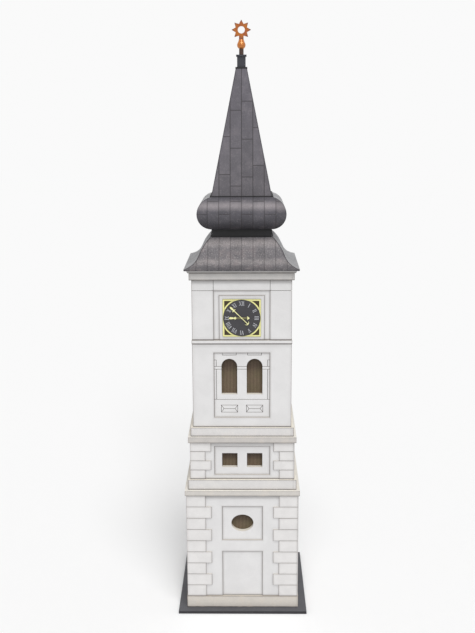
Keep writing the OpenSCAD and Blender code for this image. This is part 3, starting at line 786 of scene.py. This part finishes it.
# The bulge: its darker lower part is painted shade, and its lighter band is a painted highlight.
bulge = roof_finish(
    "bulge_card", BULGE_FOOT, BULGE_FOOT + 9, (rgb(53, 52, 57), rgb(83, 81, 87)),
    speckle=0.12, seams=BULGE_SEAMS, hip=0.5, seam_strength=0.65,
    highlight_bands=((BULGE_FOOT + 14.2, 3.8, 0.8, rgb(138, 132, 135)),),
)
spire = roof_finish(
    "spire_card", SPIRE_FOOT, SPIRE_HEAD, (rgb(96, 93, 98), rgb(98, 95, 102)),
    speckle=0.1, seams=SPIRE_SEAMS, hip=0.8,
)
# The side panels of the ogee and the bulge also darken towards the foot: painted shade.
ogee_side = roof_finish(
    "ogee_side_card", OGEE_FOOT, OGEE_HEAD, (rgb(150, 150, 152), rgb(164, 164, 166)),
    speckle=0.08, seams=NO_SEAMS, seam_strength=0.35,
)
bulge_side = roof_finish(
    "bulge_side_card", BULGE_FOOT, BULGE_HEAD, (rgb(110, 110, 113), rgb(160, 160, 162)),
    speckle=0.08, seams=BULGE_SEAMS, seam_strength=0.35,
)
spire_side = roof_finish(
    "spire_side_card", SPIRE_FOOT, SPIRE_HEAD, (rgb(116, 115, 120), rgb(120, 119, 124)),
    speckle=0.08, seams=SPIRE_SEAMS, seam_strength=0.5,
)
for stem, facing, beside in (
    ("ogee", ogee, ogee_side), ("bulge", bulge, bulge_side), ("spire", spire, spire_side)
):
    cover(facing, stem + "_front_back")
    cover(beside, stem + "_sides")


# %% [markdown]
# ## Dark card
# The waist under the bulge, the ledge under the spire, its cap and the neck are near-black
# card with a fibrous tooth.

# %% Dark card
def plain_card(name, colour_value, roughness=0.7, tooth=0.1, cloud=0.1):
    material, w, shader = new_finish(name, roughness, 0.3)
    grain = w.use(card_grain, Tooth_size=0.5, Cloud_size=5.0)
    w.join(shader["Base Color"], grained(w, colour_value, grain, tooth, cloud))
    relief(w, shader, grain["Tooth"], 0.08, 0.4)
    return material


cover(plain_card("waist_card", rgb(40, 40, 41)), "lantern_waist", "spire_ledge", "spire_cap")
cover(plain_card("neck_card", rgb(62, 63, 68)), "spire_neck")

# %% [markdown]
# ## The clock
# The dial is matt black card on a dark brown square, in a pale yellow frame. The hands are a paler
# yellow card than the frame, and both have a deeper tone at their cut edges. Near the hub the hands
# are darker, the hour hand most of all.

# %% Dial card
DIAL_FRONT = -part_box("clock_dials")[0][1] / MM
DIAL_HEIGHT = (foot("clock_dials") + head("clock_dials")) / 2
DIAL_BROWN = rgb(64, 56, 42)
DIAL_BLACK = rgb(66, 65, 68)

material, w, shader = new_finish("dial_card", 0.65, 0.3)
view = w.use(side_view, Face_distance=20)
grain = w.use(card_grain, Tooth_size=0.4, Cloud_size=4.0)
on_disc = w.math("GREATER_THAN", view["Depth"], DIAL_FRONT - 0.4)
colour = w.mix(on_disc, DIAL_BROWN, DIAL_BLACK)
w.join(shader["Base Color"], grained(w, colour, grain, 0.06, 0.05))
relief(w, shader, grain["Tooth"], 0.06, 0.35)
cover(material, "clock_dials")

# %% Yellow card
FRAME_YELLOW = rgb(232, 229, 156)
HAND_YELLOW = rgb(240, 238, 178)
YELLOW_CUT = rgb(150, 138, 84)
FRAME_OUTSIDE, FRAME_INSIDE = 11.15, 10.1

material, w, shader = new_finish("yellow_card", 0.6, 0.3)
view = w.use(side_view, Face_distance=20)
grain = w.use(card_grain, Tooth_size=0.4, Cloud_size=4.0)
colour = w.mix(w.math("MULTIPLY", view["Cut"], 0.7), FRAME_YELLOW, YELLOW_CUT)
border = [
    (half, DIAL_HEIGHT - half, DIAL_HEIGHT + half) for half in (FRAME_OUTSIDE, FRAME_INSIDE)
]
colour, _ = scorch(w, view, colour, border, 0.7, 0.0, 0.3, 0.5)
w.join(shader["Base Color"], grained(w, colour, grain, 0.04, 0.04))
relief(w, shader, grain["Tooth"], 0.06, 0.35)
cover(material, "clock_frames")

# %% Hands
HAND_SHADED = rgb(120, 112, 70)
HAND_SHAFT = 3.0

for part, shaded in (("hour_hands", 0.7), ("minute_hands", 0.15)):
    material, w, shader = new_finish(part + "_card", 0.6, 0.3)
    view = w.use(side_view, Face_distance=20)
    grain = w.use(card_grain, Tooth_size=0.4, Cloud_size=4.0)
    up = w.math("SUBTRACT", view["Height"], DIAL_HEIGHT)
    squares = [w.math("MULTIPLY", part_way, part_way) for part_way in (up, view["Across"])]
    from_hub = w.math("SQRT", w.math("ADD", *squares))
    near_hub = w.fade(from_hub, HAND_SHAFT, HAND_SHAFT + 0.6, shaded, 0.0)
    colour = w.mix(w.math("MULTIPLY", view["Cut"], 0.7), HAND_YELLOW, YELLOW_CUT)
    colour = w.mix(near_hub, colour, HAND_SHADED)
    w.join(shader["Base Color"], grained(w, colour, grain, 0.04, 0.04))
    relief(w, shader, grain["Tooth"], 0.06, 0.35)
    cover(material, part)

# %% [markdown]
# ## Numerals
# The Roman numerals are thin silver strokes that stand a hair proud of the dial, with their feet to
# the centre. Letters could come from a font, but these are three simple signs, so
# each stroke is one flattened cube: thick and thin strokes and fine serifs, as a sign writer draws
# them. Each numeral is built upright at the origin, then turned to its hour and to its side.

# %% Numeral strokes
CAP_HEIGHT = 2.3
THICK, THIN, SERIF = 0.26, 0.14, 0.11
PROUD = 0.08
NUMERAL_RADIUS = 8.6
SIGN_WIDTH = {"I": 0.82, "V": 1.5, "X": 1.5}


def stroke(mesh, start, end, width):
    """A flat bar from start to end, each (x, z) in millimetres."""
    run = Vector((end[0] - start[0], 0, end[1] - start[1]))
    middle = Vector(((start[0] + end[0]) / 2, 0, (start[1] + end[1]) / 2))
    turn = Matrix.Rotation(math.atan2(run.x, run.z), 4, "Y")
    size = Matrix.Diagonal((width, PROUD, run.length, 1))
    made = bmesh.ops.create_cube(mesh, size=1, matrix=Matrix.Translation(middle) @ turn @ size)
    return made["verts"]


def sign(mesh, letter, x):
    """One letter of a numeral, centred on x."""
    top, low = CAP_HEIGHT / 2, -CAP_HEIGHT / 2
    lean = 0.48
    made = []
    if letter == "I":
        made += stroke(mesh, (x, low), (x, top), THICK)
        serifs = [(x, low), (x, top)]
    elif letter == "V":
        made += stroke(mesh, (x - lean, top), (x, low), THICK)
        made += stroke(mesh, (x + lean, top), (x, low), THIN)
        serifs = [(x - lean, top), (x + lean, top)]
    else:
        made += stroke(mesh, (x - lean, top), (x + lean, low), THICK)
        made += stroke(mesh, (x + lean, top), (x - lean, low), THIN)
        serifs = [(x + s * lean, end) for s in (-1, 1) for end in (low, top)]
    for place_x, place_z in serifs:
        made += stroke(mesh, (place_x - 0.32, place_z), (place_x + 0.32, place_z), SERIF)
    return made


# %% Numerals on all four dials
NUMERALS = ("XII", "I", "II", "III", "IV", "V", "VI", "VII", "VIII", "IX", "X", "XI")
mesh = bmesh.new()
for side in range(4):
    to_side = Matrix.Rotation(math.pi / 2 * side, 4, "Z")
    for hour, letters in enumerate(NUMERALS):
        width = sum(SIGN_WIDTH[letter] for letter in letters)
        x = -width / 2
        made = []
        for letter in letters:
            made += sign(mesh, letter, x + SIGN_WIDTH[letter] / 2)
            x += SIGN_WIDTH[letter]
        to_hour = Matrix.Rotation(math.radians(30 * hour), 4, "Y")
        out = Matrix.Translation((0, 0, NUMERAL_RADIUS))
        onto_dial = Matrix.Translation((0, -DIAL_FRONT - PROUD / 2 + 0.01, DIAL_HEIGHT))
        move = Matrix.Scale(MM, 4) @ to_side @ onto_dial @ to_hour @ out
        bmesh.ops.transform(mesh, matrix=move, verts=list(set(made)))
numerals_mesh = bpy.data.meshes.new("dial_numerals")
mesh.to_mesh(numerals_mesh)
mesh.free()
numerals = bpy.data.objects.new("dial_numerals", numerals_mesh)
scene.collection.objects.link(numerals)
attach(numerals, "root")
numerals_mesh.materials.append(plain_card("numeral_silver", rgb(196, 197, 202), 0.5, 0.05, 0.05))
print("numerals:", len(numerals_mesh.polygons), "faces")

# %% [markdown]
# ## The finial
# The rod is a dark stained stick. The ball is a turned bead in copper paint, glossy enough
# to catch a highlight, and the sun is cut from copper-coloured card with its tips browned.

# %% Rod
material, w, shader = new_finish("stained_rod", 0.5, 0.4)
here = w.add("Mapping", Vector=w.add("TexCoord").outputs["Object"], Scale=(1, 1, 0.12)).outputs[0]
fibre = w.add("TexNoise", Vector=here, Scale=2600.0, Detail=4.0).outputs[0]
w.join(shader["Base Color"], w.mix(w.fade(fibre, 0.3, 0.7), rgb(52, 38, 34), rgb(96, 70, 58)))
relief(w, shader, fibre, 0.08, 0.5)
cover(material, "finial_rod")

# %% Copper ball
material, w, shader = new_finish("copper_paint", 0.25, 0.9, 0.35)
grain = w.use(card_grain, Tooth_size=0.5, Cloud_size=2.0)
clouds = w.fade(grain["Cloud"], NOISE_LOW, NOISE_HIGH)
colour = w.mix(clouds, rgb(182, 102, 26), rgb(198, 120, 38))
w.join(shader["Base Color"], grained(w, colour, grain, 0.05, 0.03))
w.join(shader["Roughness"], w.fade(grain["Tooth"], NOISE_LOW, NOISE_HIGH, 0.18, 0.3))
relief(w, shader, grain["Tooth"], 0.03, 0.3)
cover(material, "finial_ball")

# %% Copper sun
SUN_RADIUS = 5.6 * MM
SUN_MIDDLE = head("sun") * MM - SUN_RADIUS
TIPS_FROM = 3.6 * MM
STEM_BELOW = -5.2 * MM

material, w, shader = new_finish("copper_card", 0.5, 0.4, 0.1)
grain = w.use(card_grain, Tooth_size=0.5, Cloud_size=2.5)
place = w.add("SeparateXYZ", Vector=w.add("TexCoord").outputs["Object"]).outputs
up = w.math("SUBTRACT", place[2], SUN_MIDDLE)
squares = [w.math("MULTIPLY", part_way, part_way) for part_way in (place[0], up)]
from_hub = w.math("SQRT", w.math("ADD", *squares))
outer = w.fade(from_hub, TIPS_FROM, SUN_RADIUS)
tip = w.math("MULTIPLY", outer, w.math("GREATER_THAN", up, STEM_BELOW))
clouds = w.fade(grain["Cloud"], NOISE_LOW, NOISE_HIGH)
colour = w.mix(clouds, rgb(160, 84, 42), rgb(174, 102, 34))
colour = w.mix(w.math("MULTIPLY", tip, 0.85), colour, rgb(98, 70, 68))
w.join(shader["Base Color"], grained(w, colour, grain, 0.06, 0.04))
relief(w, shader, grain["Tooth"], 0.05, 0.35)
cover(material, "sun")

# %% [markdown]
# ## The floor
# The tower stands on a plain white sheet. A single large grid is enough, since nothing of it shows
# but its tone and the tower's soft shadow, and its colour matches the white behind it.

# %% Floor
FLOOR_HALF = 4.0
mesh = bmesh.new()
bmesh.ops.create_grid(mesh, x_segments=1, y_segments=1, size=FLOOR_HALF)
floor_mesh = bpy.data.meshes.new("floor")
mesh.to_mesh(floor_mesh)
mesh.free()
floor = bpy.data.objects.new("floor", floor_mesh)
scene.collection.objects.link(floor)
floor_material, w, shader = new_finish("floor_paper", 0.9, 0.0)
shader["Base Color"].default_value = (BACKDROP, BACKDROP, BACKDROP, 1)
floor_mesh.materials.append(floor_material)
print("floor", 2 * FLOOR_HALF, "m wide")
